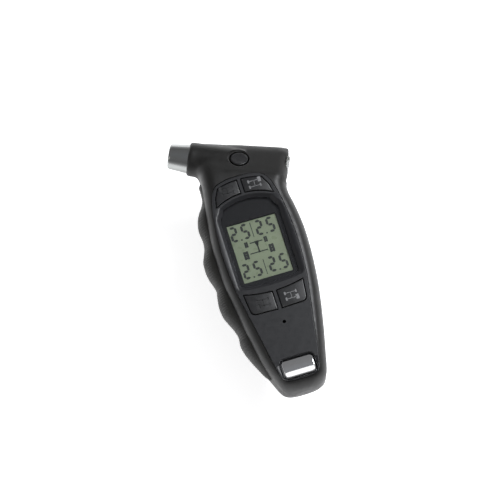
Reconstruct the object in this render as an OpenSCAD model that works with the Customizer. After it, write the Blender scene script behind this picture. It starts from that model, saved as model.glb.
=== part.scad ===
// Pistol-shaped digital tyre pressure gauge, lying on its back.
// +Z is the way the display faces, +Y runs from the chin to the head, +X is to the right.
// The origin is on the flat back, under the middle of the display.

/* [Body] */
// Thickness from the back rest to the face panel
body_t = 27; // [26.5:0.5:28]
// Wall thickness of the covers
wall = 1.8; // [1.6:0.1:2]
// Height of the parting plane between the covers
split_z = 13; // [12.8:0.1:13.2]
// Thickness of the face panel
panel_t = 1.8; // [1.6:0.1:2]
// Gap between the face panel and its recess
panel_gap = 0.2; // [0.1:0.05:0.3]

/* [Head] */
// Slope of the head and the nozzle above the cross direction
head_tilt = 25.5; // [25:0.5:26]
// Height of the nozzle axis above the back rest
axis_z = 13.5; // [13.2:0.1:13.8]
// Radius of the collar
collar_r = 9.3; // [9.2:0.1:9.5]
// Distance from the collar to the torch lens
torch_s = 52.8; // [52.4:0.1:53.2]
// Forward lean of the torch lens
torch_lean = 12; // [10:1:13]

/* [Nozzle] */
// Length of the nozzle outside the collar
nozzle_len = 10.8; // [10.4:0.1:11.2]
// Radius of the nozzle at the collar
nozzle_r = 8; // [7.7:0.1:8.2]
// Radius of the nozzle at its tip
nozzle_tip_r = 6.8; // [6.5:0.1:7]
// Radius of the bore that goes over the tyre valve
valve_bore_r = 4.2; // [4.1:0.05:4.3]
// Depth of the bore down to the seal
valve_bore_len = 9; // [8:0.5:9.5]

/* [Display] */
// Width of the part of the LCD that shows
lcd_w = 27; // [26.4:0.2:27.2]
// Height of the part of the LCD that shows
lcd_h = 33; // [32.6:0.2:33.4]
// Half width of the window
window_half_w = 17.8; // [17.6:0.1:18]
// Width of the sloping bezel round the lens
bezel_w = 1.7; // [1.4:0.1:2]

/* [Buttons] */
// Travel of a button
button_travel = 0.5; // [0.4:0.05:0.5]
// Gap around a button cap
button_gap = 0.35; // [0.3:0.05:0.4]
// Height of the caps above the face panel
button_rise = 0.5; // [0.3:0.1:0.7]
// Radius of the power button
power_r = 4.9; // [4.7:0.1:5]
// Width of the chrome button
chrome_w = 17; // [16.6:0.1:17.2]
// Height of the chrome button
chrome_h = 10; // [9.8:0.1:10.2]

/* [Battery] */
// Diameter of an AAA cell
cell_d = 10.5; // [10.3:0.1:10.5]
// Length of an AAA cell
cell_len = 44.5; // [44:0.1:44.5]

/* [Hidden] */
$fn = 48;

// Colours
charcoal = [0.16, 0.16, 0.17];
rubber = [0.10, 0.10, 0.10];
chrome = [0.85, 0.86, 0.88];
brass = [0.75, 0.60, 0.28];
board_green = [0.05, 0.32, 0.16];

// Levels, from the back to the front
face_z = body_t;
recess_z = face_z - panel_t;
inner_z = recess_z - wall;
board_t = 1.6;
board_z = 15;
board_top = board_z + board_t;
switch_h = 2;
flange_t = 1.1;
flange_w = 0.6;
flange_z = inner_z - 0.1 - flange_t;
plunger_top = board_top + switch_h + 0.6;
plunger_h = 1.5;

// Body stations from the chin to the head: place on the middle line, left half width,
// right half width, back level, drop of the front below the face
BODY = [
    [-79.4, 4.6, 5.0, 8.5, 11.5],
    [-78.7, 7.8, 8.4, 5.4, 7.5],
    [-77.0, 10.2, 11.4, 2.8, 3.6],
    [-74.2, 11.8, 13.6, 0.9, 0.8],
    [-70.0, 13.4, 15.0, 0.0, 0.1],
    [-64.0, 15.7, 16.4, 0.0, 0.0],
    [-55.0, 18.0, 18.6, 0.0, 0.0],
    [-46.0, 19.6, 20.6, 0.0, 0.0],
    [-36.0, 21.0, 22.6, 0.0, 0.0],
    [-26.0, 22.5, 24.3, 0.0, 0.0],
    [-16.0, 23.6, 25.5, 0.0, 0.0],
    [-6.0, 24.2, 26.3, 0.0, 0.0],
    [4.0, 24.2, 26.6, 0.0, 0.0],
    [13.0, 23.5, 26.1, 0.0, 0.0],
    [20.0, 22.7, 25.3, 0.0, 0.0],
    [26.0, 21.6, 24.6, 0.0, 0.0],
    [33.0, 19.9, 24.2, 0.0, 0.0],
    [40.0, 18.9, 24.4, 0.0, 0.0],
    [44.0, 18.7, 25.8, 0.6, 0.4],
    [48.0, 18.6, 27.6, 1.4, 1.9],
    [53.0, 18.5, 29.6, 2.6, 4.1],
    [58.0, 17.6, 31.6, 4.0, 6.4],
    [62.0, 15.5, 33.2, 5.8, 8.6],
    [64.6, 12.5, 33.2, 8.2, 11.0],
    [65.6, 10.0, 32.2, 10.5, 13.2]
];
front_corner = [6.5, 8];
back_corner = [5.5, 5.5];
// The sections turn from square across the handle to this slope along the head
head_shear = 0.4;
shear_start = 22;
shear_end = 42;
// Towards its far edge the head is a little less sloped
brow_flare = 0.035;
brow_start = 56;

// Depth of the thick rim of the collar, which holds the nozzle
collar_lip = 4;

// Collar stations along the nozzle axis: distance behind the collar's mouth, radius
COLLAR = [
    [0, collar_r - 0.8],
    [0.6, collar_r - 0.3],
    [1.7, collar_r],
    [collar_lip, collar_r + 0.1],
    [8, collar_r + 0.2],
    [20, collar_r + 0.5],
    [30, collar_r + 0.3]
];
collar_pos = [-21, 63.2];

// Grip stations: y, outermost x, half height
GRIP = [
    [-67.5, -15.4, 3.0],
    [-64.5, -17.4, 5.8],
    [-60, -19.6, 7.6],
    [-54, -22.3, 8.3],
    [-49, -24.1, 8.5],
    [-45, -24.8, 8.5],
    [-40.5, -24.4, 8.3],
    [-36, -25.4, 8.4],
    [-31, -27.5, 8.6],
    [-26.5, -29.1, 8.7],
    [-22, -29.5, 8.7],
    [-16, -28.8, 8.6],
    [-12.5, -28.2, 8.5],
    [-9, -28.9, 8.6],
    [-5, -30.1, 8.7],
    [-0.5, -30.7, 8.7],
    [4, -30.5, 8.7],
    [8, -29.1, 8.6],
    [12, -27.6, 8.4],
    [16, -27.1, 8.4],
    [22, -27.6, 8.4],
    [27, -26.8, 8.2],
    [31.5, -24.8, 8.0],
    [35, -22.4, 7.7],
    [38.5, -20.9, 7.2],
    [42, -20.5, 6.4],
    [45.5, -20.4, 4.6],
    [47.5, -19.6, 2.4]
];
grip_z = 11.6;

// Window and button outlines are arcs about centres on the middle line
arch_c = -0.8;
arch_r = 31;
sill_c = 78.4;
sill_r = 100;
top_key_r = 32.5;
top_key_outer_r = 40.1;
low_key_c = 35.8;
low_key_r = 61.3;
key_inner_x = 1.3;
chrome_y = -68.2;
chrome_dome_r = 11;
power_pos = [4.3, 52.3];
power_z = 22.4;
power_slope = 25;
power_turn = -22;
hole_y = -43;

// Battery bay, door and screws
cell_y = -68.5;
cell_x = cell_d / 2 + 0.1;
cell_z = 2.2 + cell_d / 2;
cell_end_y = cell_y + cell_len;
spring_len = 2.8;
rib_t = 1.2;
rib_z = 1.6;
door_top_z = 1.9;
door_hinge_y = -23.5;
door_end_y = -69;
SCREWS = [[-17.3, 27], [20.4, 26], [-19.2, -20], [21, -20]];
BOARD_SCREWS = [[-12.5, -41.5], [12.5, -41.5], [4.5, 43.6]];
screw_head_z = 2.6;
screw_top_z = 20;
screw_post_r = 2.6;

// Torch
led_pitch = 3.6;
torch_board_s = 44.2;
torch_back_s = 46;
torch_mid = -0.6;
torch_w = 16.8;
torch_rim = 0.6;
// The end face goes on past the lens to the far edge of the head
torch_brow = 8;

// ---------- shared shapes ----------

function arc2(c, r, a0, a1, n) =
    [for (i = [0:n]) let (a = a0 + (a1 - a0) * i / n) [c[0] + r[0] * cos(a), c[1] + r[1] * sin(a)]];

// Closed solid through rings that all have the same number of points
module loft(rings) {
    n = len(rings[0]);
    last = len(rings) - 1;
    points = [for (ring = rings) each ring];
    sides = [
        for (i = [0:last - 1], j = [0:n - 1])
            let (a = i * n + j, b = i * n + (j + 1) % n)
            each [[a, b, b + n], [a, b + n, a + n]]
    ];
    start_cap = [for (j = [n - 1:-1:0]) j];
    end_cap = [for (j = [0:n - 1]) last * n + j];
    polyhedron(points, concat([start_cap, end_cap], sides), convexity = 8);
}

function shear_at(y) =
    head_shear * min(max((y - shear_start) / (shear_end - shear_start), 0), 1)
    - brow_flare * max((y - brow_start) / (BODY[len(BODY) - 1][0] - brow_start), 0);

// Rounded section of the body at one station, drawn inwards by inset
function body_ring(st, inset, front_inset) =
    let (
        l = inset - st[1],
        r = st[2] - inset,
        b = st[3] + inset,
        f = face_z - st[4] - front_inset,
        h = (f - b) / 2,
        w = (r - l) / 2,
        fx = min(front_corner[0] - inset, w * 0.96),
        fz = min(front_corner[1] - inset, h * 0.96),
        bx = min(back_corner[0] - inset, w * 0.96),
        bz = min(back_corner[1] - inset, h * 0.96)
    )
    [for (p = concat(
        arc2([r - fx, f - fz], [fx, fz], 0, 90, 6),
        arc2([l + fx, f - fz], [fx, fz], 90, 180, 6),
        arc2([l + bx, b + bz], [bx, bz], 180, 270, 5),
        arc2([r - bx, b + bz], [bx, bz], 270, 360, 5)
    )) [p[0], st[0] - p[0] * shear_at(st[0]), p[1]]];

// Moves children from the nozzle axis, with local +Z out of the nozzle, to their place
module on_nozzle_axis() {
    translate([collar_pos[0], collar_pos[1], axis_z]) rotate([0, 90, 180 - head_tilt]) children();
}

module collar_loft(inset, first) {
    on_nozzle_axis() loft([
        for (st = COLLAR) if (st[0] >= first)
            [for (i = [0:35]) let (a = i * 10)
                [(st[1] - inset) * cos(a), (st[1] - inset) * sin(a), -st[0]]]
    ]);
}

// The whole body, before it is hollowed
module outer_body() {
    difference() {
        loft([for (st = BODY) body_ring(st, 0, 0)]);
        beyond_torch(torch_s);
    }
    collar_loft(0, 0);
}

// The hollow of the body
module inner_body() {
    stations = [for (st = BODY) if (st[0] > -78 && st[0] < 63) st];
    loft([for (st = stations) body_ring(
        [st[0] + (st[0] < -76 ? 1.2 : 0), st[1], st[2] + (st[0] > 42 ? -3 : 0), st[3], st[4]],
        wall, wall + (st[0] > 42 ? 0 : panel_t))]);
    collar_loft(wall, collar_lip);
}

// Space on the torch side, leaning forward, beyond distance s behind the collar
module beyond_torch(s) {
    on_nozzle_axis() translate([0, torch_mid - torch_w / 2, -s]) rotate([0, -torch_lean, 0])
        translate([-40, -torch_brow, -40]) cube([80, torch_w + torch_brow, 40]);
}

// ---------- outlines ----------

function mirror_x(points) = [for (i = [len(points) - 1:-1:0]) [-points[i][0], points[i][1]]];
function both_sides(right) = concat(right, mirror_x(right));

// Face panel, drawn outwards by grow
function panel_outline(grow) = both_sides([
    [3, -74.5 - grow], [7.4, -74 - grow], [10.2 + grow, -71.6], [12.3 + grow, -62.5],
    [15 + grow, -46], [17.2 + grow, -33], [19.3 + grow, -20], [20.4 + grow, -3],
    [20.1 + grow, 10], [19 + grow, 22], [17.8 + grow, 29], [16 + grow, 35],
    [13 + grow, 39 + grow], [8, 40.9 + grow], [3, 41.5 + grow]
]);

// Window, drawn outwards by grow
function window_outline(grow) =
    let (
        w = window_half_w + grow,
        top_a = acos((w - 3.2) / (arch_r + grow)),
        low_a = asin((w - 2.4) / (sill_r + grow))
    )
    both_sides(concat(
        arc2([0, sill_c], [sill_r + grow, sill_r + grow], -89, low_a - 90, 6),
        arc2([w - 2, -18.4 - grow], [2, 2], -60, 0, 3),
        arc2([w - 5, 20 + grow], [5, 5], 0, 48, 4),
        arc2([0, arch_c], [arch_r + grow, arch_r + grow], top_a, 89, 10)
    ));

// Upper right button, between two arcs about the arch's centre
function top_key_outline(grow) =
    let (
        low = top_key_r - grow,
        high = top_key_outer_r + grow,
        x0 = key_inner_x - grow,
        low_a = acos((15.7 + grow) / low),
        high_a = acos((11.9 + grow) / high)
    )
    concat(
        arc2([0, arch_c], [low, low], acos(x0 / low), low_a, 5),
        [[14.6 + grow, 32.6]],
        arc2([0, arch_c], [high, high], high_a, acos(x0 / high), 5)
    );

// Lower right button, under the window's sill
function low_key_outline(grow) =
    let (r = low_key_r - grow, x0 = key_inner_x - grow)
    concat(
        arc2([0, low_key_c], [r, r], asin((16.2 + grow) / r) - 90, asin(x0 / r) - 90, 4),
        [[x0, -35.4 - grow]],
        arc2([12.6, -32.4], [2.6 + grow, 2.6 + grow], -90, -12, 4)
    );

module rounded_box(w, h, r, t) {
    linear_extrude(t) polygon(concat(
        arc2([w / 2 - r, h / 2 - r], [r, r], 0, 90, 6),
        arc2([r - w / 2, h / 2 - r], [r, r], 90, 180, 6),
        arc2([r - w / 2, r - h / 2], [r, r], 180, 270, 6),
        arc2([w / 2 - r, r - h / 2], [r, r], 270, 360, 6)
    ));
}

module prism(points, z0, z1) {
    translate([0, 0, z0]) linear_extrude(z1 - z0) polygon(points);
}

module power_shape(grow, z0, z1) {
    translate([power_pos[0], power_pos[1], z0]) rotate(power_turn)
        linear_extrude(z1 - z0) polygon([for (i = [0:35])
            [(power_r + grow) * cos(i * 10), (power_r * cos(power_slope) + grow) * sin(i * 10)]]);
}

// Every opening that passes through the face, drawn outwards by grow
module key_holes(grow, z0, z1) {
    for (side = [0, 1]) mirror([side, 0, 0]) {
        prism(top_key_outline(grow), z0, z1);
        prism(low_key_outline(grow), z0, z1);
    }
    translate([0, chrome_y, z0])
        rounded_box(chrome_w + 2 * grow, chrome_h + 2 * grow, 2 + grow, z1 - z0);
    translate([0, hole_y, z0]) cylinder(r = 0.8, h = z1 - z0);
}

module at_points(points, z) {
    for (p = points) translate([p[0], p[1], z]) children();
}

// ---------- covers ----------

module rear_cover() color(charcoal) {
    difference() {
        union() {
            difference() {
                intersection() {
                    outer_body();
                    translate([-60, -100, -1]) cube([120, 200, split_z + 1]);
                }
                inner_body();
            }
            // Screw posts, kept inside the rounded edge of the back
            intersection() {
                loft([for (st = BODY) body_ring(st, 0, 0)]);
                at_points(SCREWS, 1) cylinder(r = screw_post_r, h = split_z - 1);
            }
            // End walls of the battery bay
            translate([-13, cell_end_y + spring_len, rib_z]) cube([26, rib_t, 10]);
            translate([-10.8, cell_y - 0.4 - rib_t, rib_z]) cube([21.6, rib_t, 10]);
        }
        nozzle_space();
        torch_bar(0);
        prism(door_outline(0.2), -1, 4.4);
        at_points(SCREWS, -1) cylinder(r = 2.2, h = screw_head_z + 1);
        at_points(SCREWS, screw_head_z - 0.5) cylinder(r = 1.15, h = 20);
    }
}

module front_cover() color(charcoal) {
    difference() {
        union() {
            difference() {
                intersection() {
                    outer_body();
                    translate([-60, -100, split_z]) cube([120, 200, 30]);
                }
                inner_body();
            }
            at_points(SCREWS, split_z) cylinder(r = screw_post_r, h = screw_top_z + 1.5 - split_z);
            at_points(BOARD_SCREWS, board_top) cylinder(r = 2, h = inner_z - board_top + 0.4);
        }
        nozzle_space();
        torch_bar(0);
        prism(panel_outline(panel_gap), recess_z, face_z + 1);
        prism(window_outline(-1), inner_z - 1, face_z);
        key_holes(button_gap, flange_z - 1, face_z + 1);
        power_shape(button_gap, plunger_top - 2 * button_travel, face_z);
        // Room for the flanges of the buttons and the rim of the display
        key_holes(flange_w + 0.3, flange_z - 1, inner_z);
        prism(window_outline(-0.4), flange_z - 1, inner_z);
        at_points(SCREWS, split_z - 1) cylinder(r = 1.15, h = screw_top_z - split_z + 1.4);
        at_points(BOARD_SCREWS, board_top - 1) cylinder(r = 0.85, h = 5.4);
    }
}

module face_panel() color([0.20, 0.20, 0.22]) {
    difference() {
        prism(panel_outline(0), recess_z, face_z);
        // Window with a sloping bezel
        loft([for (level = [[-bezel_w, recess_z - 1], [-bezel_w, recess_z + 0.2], [0, face_z],
            [0, face_z + 1]]) [for (p = window_outline(level[0])) [p[0], p[1], level[1]]]]);
        key_holes(button_gap, recess_z - 1, face_z + 1);
    }
}

// Rubber finger grip on the left flank
module finger_grip() color(rubber) {
    difference() {
        loft([for (st = GRIP)
            [for (i = [0:12]) let (a = 90 - i * 15, x_in = st[1] + 12)
                [x_in - 12 * pow(max(cos(a), 0), 0.6), st[0], grip_z + st[2] * sin(a)]]]);
        loft([for (st = BODY) body_ring(st, -0.05, -0.05)]);
        collar_loft(-0.05, 0);
    }
}

function door_outline(grow) = both_sides([
    [9.3, door_end_y - grow], [10.6 + grow, door_end_y + 1.5], [14 + grow, door_hinge_y + grow]
]);

module battery_door() color(charcoal) {
    intersection() {
        loft([for (st = BODY) body_ring(st, 0, 0)]);
        prism(door_outline(0), -1, door_top_z);
    }
    // Hooks that catch inside the rear cover
    for (side = [0, 1]) mirror([side, 0, 0]) {
        translate([10, door_hinge_y - 2, door_top_z - 0.1]) cube([3, 2, 1.1]);
        translate([10, door_hinge_y - 0.1, door_top_z + 0.1]) cube([3, 1.9, 0.9]);
    }
}

module housing_screws() color(chrome) {
    at_points(SCREWS, 0) {
        difference() {
            translate([0, 0, screw_head_z - 1.5]) cylinder(r = 1.9, h = 1.5);
            for (a = [0, 90]) rotate(a) translate([-1.2, -0.25, screw_head_z - 2])
                cube([2.4, 0.5, 1.2]);
        }
        translate([0, 0, screw_head_z]) cylinder(r = 1.1, h = screw_top_z - screw_head_z);
    }
}

// ---------- display ----------

module display_lens() color([0.75, 0.8, 0.85, 0.35])
    prism(window_outline(-1.1), inner_z, recess_z - 0.05);

module lcd_frame() color([0.05, 0.05, 0.06]) {
    difference() {
        union() {
            prism(window_outline(-0.6), inner_z - 1.1, inner_z - 0.1);
            translate([-16.3, -20.8, board_top]) cube([32.6, 42.6, inner_z - 0.6 - board_top]);
        }
        translate([-lcd_w / 2, 0.5 - lcd_h / 2, 0]) cube([lcd_w, lcd_h, 40]);
        translate([-15.4, -19.8, 0]) cube([30.8, 40.6, inner_z - 1.1]);
    }
}

module lcd_glass() color([0.55, 0.62, 0.48])
    translate([-15.2, -19.4, 20]) cube([30.4, 39.8, inner_z - 1.3 - 20]);

module lcd_backlight() color("white")
    translate([-14, -16, 17.2]) cube([28, 33, 2.7]);

module zebra_strips() color([0.2, 0.2, 0.2])
    for (y = [-18.6, 17.6]) translate([-14, y, board_top]) cube([28, 2, 20 - board_top]);

// ---------- electronics ----------

board_outline = concat(
    [[-8.4, -74], [9.4, -74], [14.4, -56], [17.2, -40], [17.2, -16], [18.6, -10],
     [18.6, 14], [16.4, 22], [14.4, 34], [12.5, 42.3], [8.8, 45], [8.8, 56.2], [0.4, 56.2],
     [0.4, 42.3], [-10, 42.3], [-13.6, 34], [-13.8, 22], [-18.4, 14], [-18.4, -10],
     [-16.6, -16], [-16.6, -40], [-14.4, -56]]
);

module main_board() color(board_green) {
    difference() {
        prism(board_outline, board_z, board_top);
        at_points(BOARD_SCREWS, board_z - 1) cylinder(r = 1, h = board_t + 2);
    }
}

module controller_chip() color([0.08, 0.08, 0.08]) {
    translate([-4, -9, board_z - 1.2]) cube([8, 8, 1.1]);
    for (i = [0:7]) for (side = [-1, 1]) {
        translate([-3.4 + i * 0.9, -5 + side * 4.5 - 0.5, board_z - 0.3]) cube([0.4, 1, 0.3]);
    }
}

// Where each button presses: upper left and right, lower left and right, power, chrome
KEY_POINTS = [[-8.2, 34.2], [8.2, 34.2], [-8.2, -30], [8.2, -30], power_pos, [0, chrome_y]];

module tact_switches() color([0.12, 0.12, 0.12]) {
    at_points(KEY_POINTS, board_top) difference() {
        translate([-3, -3, 0]) cube([6, 6, switch_h]);
        translate([0, 0, switch_h - 1.6]) cylinder(r = 1.78, h = 3);
    }
}

module plunger(i) color([0.3, 0.12, 0.1])
    translate([KEY_POINTS[i][0], KEY_POINTS[i][1], plunger_top - plunger_h])
        cylinder(r = 1.7, h = plunger_h);

module board_screws() color(chrome) {
    at_points(BOARD_SCREWS, board_z - 1.1) {
        cylinder(r = 1.7, h = 1.1);
        cylinder(r = 0.8, h = 6.9);
    }
}

module buzzer() color([0.1, 0.1, 0.1])
    translate([0, hole_y, board_top]) difference() {
        cylinder(r = 4.8, h = 5);
        translate([0, 0, 4]) cylinder(r = 1, h = 2);
    }

sensor_pos = [-2, 38];
hose_z = axis_z;
hose_r = 1.9;
hose_bore_r = 1.15;
barb_r = 1;
hose_bend_r = 6;
core_back_s = 13;

module pressure_sensor() color([0.15, 0.15, 0.16]) {
    translate([sensor_pos[0] - 3.8, sensor_pos[1] - 4, 10.6]) cube([7.6, 8, board_z - 10.6]);
    translate([sensor_pos[0], sensor_pos[1] + 4, hose_z]) rotate([-90, 0, 0])
        cylinder(r = barb_r, h = 3);
}

// Hose route: straight off the core, one bend, straight on to the sensor
hose_end_y = sensor_pos[1] + 4.6;
hose_turn = 90 - head_tilt;
hose_bend_x = sensor_pos[0] - hose_bend_r;
hose_bend_y = collar_pos[1] - (hose_bend_x - collar_pos[0]) * tan(head_tilt)
    - hose_bend_r / cos(head_tilt);

function hose_ring(x, y, heading, r) =
    [for (i = [0:11]) let (a = -i * 30)
        [x - r * cos(a) * sin(heading), y + r * cos(a) * cos(heading), hose_z + r * sin(a)]];

function hose_rings(r, extra) =
    let (
        start = -head_tilt,
        lead = 3,
        x0 = hose_bend_x + hose_bend_r * cos(90 + start),
        y0 = hose_bend_y + hose_bend_r * sin(90 + start)
    )
    concat(
        [hose_ring(x0 - (lead + extra) * cos(start), y0 - (lead + extra) * sin(start), start, r)],
        [for (i = [0:8]) let (h = start - hose_turn * i / 8)
            hose_ring(hose_bend_x + hose_bend_r * cos(90 + h),
                hose_bend_y + hose_bend_r * sin(90 + h), h, r)],
        [hose_ring(sensor_pos[0], hose_end_y - extra, -90, r)]
    );

module air_hose() color([0.75, 0.72, 0.65]) {
    difference() {
        loft(hose_rings(hose_r, 0));
        loft(hose_rings(hose_bore_r, 0.5));
    }
}

module hose_clips() color(chrome) {
    translate([sensor_pos[0], hose_end_y + 0.8, hose_z]) rotate([-90, 0, 0]) difference() {
        cylinder(r = hose_r + 0.5, h = 1.2);
        translate([0, 0, -1]) cylinder(r = hose_r + 0.02, h = 4);
    }
}

// ---------- nozzle ----------

// Space that the nozzle parts take through the collar
module nozzle_space() {
    on_nozzle_axis() {
        translate([0, 0, -collar_lip - 1]) cylinder(r = 6.9, h = 10);
        translate([0, 0, -1.6]) cylinder(r = nozzle_r + 0.15, h = 10);
    }
}

module nozzle_sleeve() color(chrome) {
    seat = nozzle_len - valve_bore_len;
    on_nozzle_axis() difference() {
        rotate_extrude() polygon([
            [0, -8], [6.7, -8], [6.7, -1.5], [nozzle_r, -1.5], [nozzle_r, 0],
            [nozzle_tip_r + 0.1, nozzle_len - 1], [nozzle_tip_r - 0.1, nozzle_len - 0.4],
            [nozzle_tip_r - 0.6, nozzle_len], [0, nozzle_len]
        ]);
        translate([0, 0, seat]) cylinder(r = valve_bore_r, h = 20);
        translate([0, 0, seat - 3]) cylinder(r = valve_bore_r + 0.6, h = 3);
        translate([0, 0, -10]) cylinder(r = 3.2, h = 20);
    }
}

module nozzle_seal() color(rubber) {
    seat = nozzle_len - valve_bore_len;
    on_nozzle_axis() translate([0, 0, seat - 3]) difference() {
        cylinder(r = valve_bore_r + 0.55, h = 2.9);
        translate([0, 0, -1]) cylinder(r = 2, h = 5);
    }
}

module nozzle_core() color(brass) {
    on_nozzle_axis() difference() {
        union() {
            translate([0, 0, -11.5]) cylinder(r = 3.1, h = 11.5 - 1.65);
            translate([0, 0, -core_back_s]) cylinder(r = 2.2, h = 2);
            translate([0, 0, -core_back_s - 3.4]) cylinder(r = barb_r, h = 4);
        }
        translate([0, 0, -20]) cylinder(r = 0.5, h = 16);
        translate([0, 0, -5]) cylinder(r = 0.75, h = 6);
        translate([0, 0, -4.6]) rotate_extrude() translate([3.1, 0]) square(1.3, center = true);
    }
}

module nozzle_o_ring() color(rubber) {
    on_nozzle_axis() translate([0, 0, -4.6]) rotate_extrude() translate([2.82, 0]) circle(r = 0.33);
}

module valve_pin() color(chrome) {
    on_nozzle_axis() {
        translate([0, 0, -4.9]) cylinder(r = 0.7, h = 6.5);
        translate([0, 0, -1.6]) cylinder(r = 1.6, h = 0.6);
    }
}

module nozzle_nut() color(brass) {
    on_nozzle_axis() translate([0, 0, -11]) difference() {
        cylinder(r = 7, h = 2.9, $fn = 6);
        translate([0, 0, -1]) cylinder(r = 3.15, h = 5);
    }
}

// ---------- torch ----------

// Bar along the head axis that the torch lens and its pocket are cut from
module torch_bar(gap) {
    on_nozzle_axis() translate([0, torch_mid, -torch_back_s - 12]) rotate(90)
        rounded_box(torch_w - 2 * torch_rim - 2 * gap, 14 - 2 * gap, 4, 12);
}

module torch_lens() color([0.8, 0.85, 0.9, 0.4]) {
    difference() {
        torch_bar(0.1);
        beyond_torch(torch_s + 0.3);
        on_nozzle_axis() translate([0, 0, -torch_s]) rotate([0, -torch_lean, 0])
            translate([-40, -40, 1.4]) cube([80, 80, 40]);
    }
}

module torch_leds() color([0.95, 0.95, 0.9]) {
    on_nozzle_axis() for (i = [-1:1]) translate([0, i * led_pitch, -torch_board_s - 1.2]) {
        translate([0, 0, -0.8]) cylinder(r = 1.7, h = 0.8);
        translate([0, 0, -3]) cylinder(r = 1.5, h = 2.2);
        translate([0, 0, -3]) sphere(r = 1.5);
    }
}

module torch_board() color(board_green) {
    on_nozzle_axis() translate([0, 0, -torch_board_s - 1.2]) cylinder(r = 7.2, h = 1.2);
}

// ---------- power ----------

module cell(side) color([0.2, 0.25, 0.3])
    translate([side * cell_x, cell_y, cell_z]) rotate([-90, 0, 0]) {
        flip = side > 0 ? 1 : 0;
        translate([0, 0, flip * 0.9]) cylinder(r = cell_d / 2, h = cell_len - 0.9);
        translate([0, 0, 0]) cylinder(r = 1.9, h = cell_len);
    }

// One conical spring of round wire, with its small end at the cell
function spring_ring(t, turns, len) =
    let (a = 360 * turns * t, r = 1.6 + 1.8 * t, y = 0.26 + len * t)
    [for (i = [0:7]) let (b = -i * 45)
        [(r + 0.25 * cos(b)) * cos(a), y + 0.25 * sin(b), (r + 0.25 * cos(b)) * sin(a)]];

module battery_springs() color(chrome) {
    for (side = [-1, 1]) translate([side * cell_x, cell_end_y, cell_z]) {
        translate([-4, spring_len - 0.4, -4]) cube([8, 0.4, 8]);
        loft([for (i = [0:30]) spring_ring(i / 30, 2.5, spring_len - 0.86)]);
    }
}

module battery_bridge() color(chrome)
    translate([-9.6, cell_y - 0.4, cell_z - 3.5]) cube([19.2, 0.4, 7]);

// ---------- buttons ----------

cap_top = face_z + button_rise;

module key_cap(outline, flange, i) {
    prism(outline, flange_z, cap_top);
    prism(flange, flange_z, flange_z + flange_t);
    translate([KEY_POINTS[i][0], KEY_POINTS[i][1], plunger_top])
        cylinder(r = 1.8, h = flange_z - plunger_top + 0.1);
}

module front_right_button() color(charcoal) key_cap(top_key_outline(0), top_key_outline(flange_w), 1);
module rear_right_button() color(charcoal) key_cap(low_key_outline(0), low_key_outline(flange_w), 3);
module front_left_button() color(charcoal) mirror([1, 0, 0])
    key_cap(top_key_outline(0), top_key_outline(flange_w), 1);
module rear_left_button() color(charcoal) mirror([1, 0, 0])
    key_cap(low_key_outline(0), low_key_outline(flange_w), 3);

module power_button() color(charcoal) {
    difference() {
        power_shape(0, plunger_top, power_z + 4);
        translate([power_pos[0], power_pos[1], power_z + 0.4]) rotate([0, 0, power_turn])
            rotate([-power_slope, 0, 0]) translate([-10, -10, 0]) cube([20, 20, 10]);
    }
    // Half flange on the side where the cover is thick
    intersection() {
        power_shape(0.8, plunger_top, plunger_top + 0.9);
        translate([power_pos[0], power_pos[1], 0]) rotate(power_turn)
            translate([-10, -20, 0]) cube([20, 20, 40]);
    }
}

module torch_button() color(chrome) {
    translate([0, chrome_y, 0]) {
        intersection() {
            translate([0, 0, flange_z]) rounded_box(chrome_w, chrome_h, 2, cap_top - flange_z);
            translate([-20, 0, cap_top - chrome_dome_r]) rotate([0, 90, 0])
                cylinder(r = chrome_dome_r, h = 40);
        }
        translate([0, 0, flange_z])
            rounded_box(chrome_w + 2 * flange_w, chrome_h + 2 * flange_w, 2.6, flange_t);
        translate([0, 0, plunger_top]) cylinder(r = 1.8, h = flange_z - plunger_top + 0.1);
    }
}

// ---------- nodes ----------

rear_cover();
front_cover();
face_panel();
finger_grip();
battery_door();
display_lens();
lcd_frame();
lcd_glass();
lcd_backlight();
zebra_strips();
main_board();
controller_chip();
tact_switches();
board_screws();
buzzer();
pressure_sensor();
air_hose();
hose_clips();
nozzle_sleeve();
nozzle_core();
nozzle_seal();
nozzle_o_ring();
nozzle_nut();
valve_pin();
torch_lens();
torch_leds();
torch_board();
cell(-1);  // battery_left
cell(1);  // battery_right
battery_springs();
battery_bridge();
housing_screws();
power_button();
front_left_button();
front_right_button();
rear_left_button();
rear_right_button();
torch_button();
plunger(4);  // power_plunger
plunger(0);  // front_left_plunger
plunger(1);  // front_right_plunger
plunger(2);  // rear_left_plunger
plunger(3);  // rear_right_plunger
plunger(5);  // torch_plunger
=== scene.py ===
"""Looks of the digital tyre pressure gauge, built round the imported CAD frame.

Lengths are millimetres in the part's frame: +Z is the way the display faces, +Y runs to the head.
"""

import math

import bmesh
import bpy
import numpy as np
from mathutils import Matrix, Vector


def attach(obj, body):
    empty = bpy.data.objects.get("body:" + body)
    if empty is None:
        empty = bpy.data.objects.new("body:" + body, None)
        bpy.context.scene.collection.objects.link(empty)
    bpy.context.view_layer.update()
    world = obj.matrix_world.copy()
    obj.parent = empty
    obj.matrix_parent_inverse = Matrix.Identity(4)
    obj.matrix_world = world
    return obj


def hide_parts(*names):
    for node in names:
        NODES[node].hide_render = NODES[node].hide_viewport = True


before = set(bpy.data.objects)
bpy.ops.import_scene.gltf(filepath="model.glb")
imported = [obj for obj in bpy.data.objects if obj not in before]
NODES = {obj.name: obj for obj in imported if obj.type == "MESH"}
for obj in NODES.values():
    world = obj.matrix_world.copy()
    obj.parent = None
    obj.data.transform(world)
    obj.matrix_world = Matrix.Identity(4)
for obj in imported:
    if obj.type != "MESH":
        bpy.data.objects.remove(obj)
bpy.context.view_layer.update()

MM = 0.001

# ---------- sizes, as in the CAD ----------

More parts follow.
